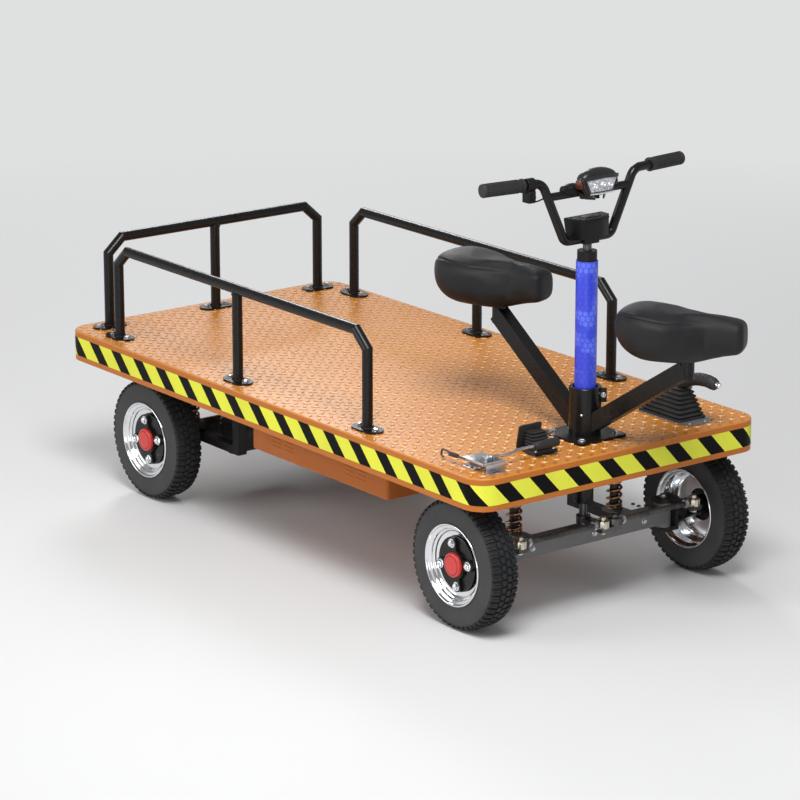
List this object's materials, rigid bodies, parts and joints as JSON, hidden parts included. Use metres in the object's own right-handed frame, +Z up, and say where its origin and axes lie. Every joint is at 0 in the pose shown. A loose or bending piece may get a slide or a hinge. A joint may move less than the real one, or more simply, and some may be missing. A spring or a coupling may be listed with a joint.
{
  "type": "electric flatbed trolley",
  "caption": "Powered four-wheel flatbed trolley with a checker-plate deck, low guard rails, steering column with handlebar, and two saddles on an arm that swivels round the column.",
  "frame": {"origin": "on the ground, under the middle of the overall length and width", "axes": "+X forward, +Y left, +Z up"},
  "size_m": [2.3394, 1, 1.211],
  "materials": {
    "orange_paint": "gloss, checker plate pressed into the top",
    "black_paint": "satin powder coat",
    "grey_paint": "satin",
    "dark_steel": "satin",
    "copper_spring": "satin copper-coloured",
    "blue_sleeve": "gloss",
    "tyre_rubber": "matt",
    "rim_chrome": "polished",
    "hub_black": "satin",
    "saddle_cover": "grained soft sheen",
    "grip_rubber": "matt",
    "black_plastic": "textured",
    "lamp_shell": "gloss",
    "lamp_lens": "clear over a bright reflector",
    "bare_steel": "zinc plated"
  },
  "bodies": {
    "chassis": {"deck_shell": "orange_paint", "frame_members": "black_paint", "side_rail_left": "black_paint", "side_rail_right": "black_paint", "rear_rail": "black_paint", "battery_box": "orange_paint", "front_axle": "grey_paint", "front_springs": "copper_spring", "rear_springs": "copper_spring", "suspension_links": "dark_steel", "rear_axle": "dark_steel", "drive_motor": "dark_steel", "column_tube": "black_paint", "column_sleeve": "blue_sleeve", "column_cap": "black_plastic", "brake_pedal": "bare_steel", "throttle_pedal": "black_plastic", "hand_brake": "black_plastic", "brake_gaiter": "grip_rubber"},
    "seat_carrier": {"swivel_collar": "black_paint", "seat_arm_front": "black_paint", "seat_arm_rear": "black_paint", "saddle_front": "saddle_cover", "saddle_rear": "saddle_cover"},
    "steering": {"steering_shaft": "bare_steel", "handlebar": "black_paint", "grips": "grip_rubber", "headlight_shell": "lamp_shell", "headlight_lens": "lamp_lens", "control_boxes": "black_plastic"},
    "knuckle_left": {"knuckle_left": "dark_steel"},
    "knuckle_right": {"knuckle_right": "dark_steel"},
    "tie_rod_left": {"tie_rod_left": "bare_steel"},
    "tie_rod_right": {"tie_rod_right": "bare_steel"},
    "wheel_front_left": {"tyre_front_left": "tyre_rubber", "rim_front_left": "rim_chrome", "hub_front_left": "hub_black"},
    "wheel_front_right": {"tyre_front_right": "tyre_rubber", "rim_front_right": "rim_chrome", "hub_front_right": "hub_black"},
    "wheel_rear_left": {"tyre_rear_left": "tyre_rubber", "rim_rear_left": "rim_chrome", "hub_rear_left": "hub_black"},
    "wheel_rear_right": {"tyre_rear_right": "tyre_rubber", "rim_rear_right": "rim_chrome", "hub_rear_right": "hub_black"}
  },
  "joints": [
    {"name": "steering_turn", "type": "hinge", "parent": "chassis", "child": "steering", "pos_m": [0.66476, 0, 0.462], "axis": [0, 0, 1], "range_deg": [-35, 35]},
    {"name": "seat_swivel", "type": "hinge", "parent": "chassis", "child": "seat_carrier", "pos_m": [0.66476, 0, 0.462], "axis": [0, 0, 1], "continuous": true},
    {"name": "kingpin_left", "type": "hinge", "parent": "chassis", "child": "knuckle_left", "pos_m": [0.66476, 0.29, 0.1814], "axis": [0, 0, 1], "range_deg": [-35, 35]},
    {"name": "tie_rod_stud_left", "type": "hinge", "parent": "steering", "child": "tie_rod_left", "pos_m": [0.76976, 0.02, 0.1814], "axis": [0, 0, 1], "range_deg": [-35, 35]},
    {"name": "wheel_spin_front_left", "type": "hinge", "parent": "knuckle_left", "child": "wheel_front_left", "pos_m": [0.66476, 0.4135, 0.1814], "axis": [0, 1, 0], "continuous": true},
    {"name": "wheel_spin_rear_left", "type": "hinge", "parent": "chassis", "child": "wheel_rear_left", "pos_m": [-0.81644, 0.4135, 0.1814], "axis": [0, 1, 0], "continuous": true},
    {"name": "kingpin_right", "type": "hinge", "parent": "chassis", "child": "knuckle_right", "pos_m": [0.66476, -0.29, 0.1814], "axis": [0, 0, 1], "range_deg": [-35, 35]},
    {"name": "tie_rod_stud_right", "type": "hinge", "parent": "steering", "child": "tie_rod_right", "pos_m": [0.76976, -0.02, 0.1814], "axis": [0, 0, 1], "range_deg": [-35, 35]},
    {"name": "wheel_spin_front_right", "type": "hinge", "parent": "knuckle_right", "child": "wheel_front_right", "pos_m": [0.66476, -0.4135, 0.1814], "axis": [0, 1, 0], "continuous": true},
    {"name": "wheel_spin_rear_right", "type": "hinge", "parent": "chassis", "child": "wheel_rear_right", "pos_m": [-0.81644, -0.4135, 0.1814], "axis": [0, 1, 0], "continuous": true}
  ],
  "couplings": [
    {"joint": "kingpin_left", "follows": "steering_turn", "ratio": 1},
    {"joint": "kingpin_right", "follows": "steering_turn", "ratio": 1},
    {"joint": "tie_rod_stud_left", "follows": "steering_turn", "ratio": -1},
    {"joint": "tie_rod_stud_right", "follows": "steering_turn", "ratio": -1}
  ]
}
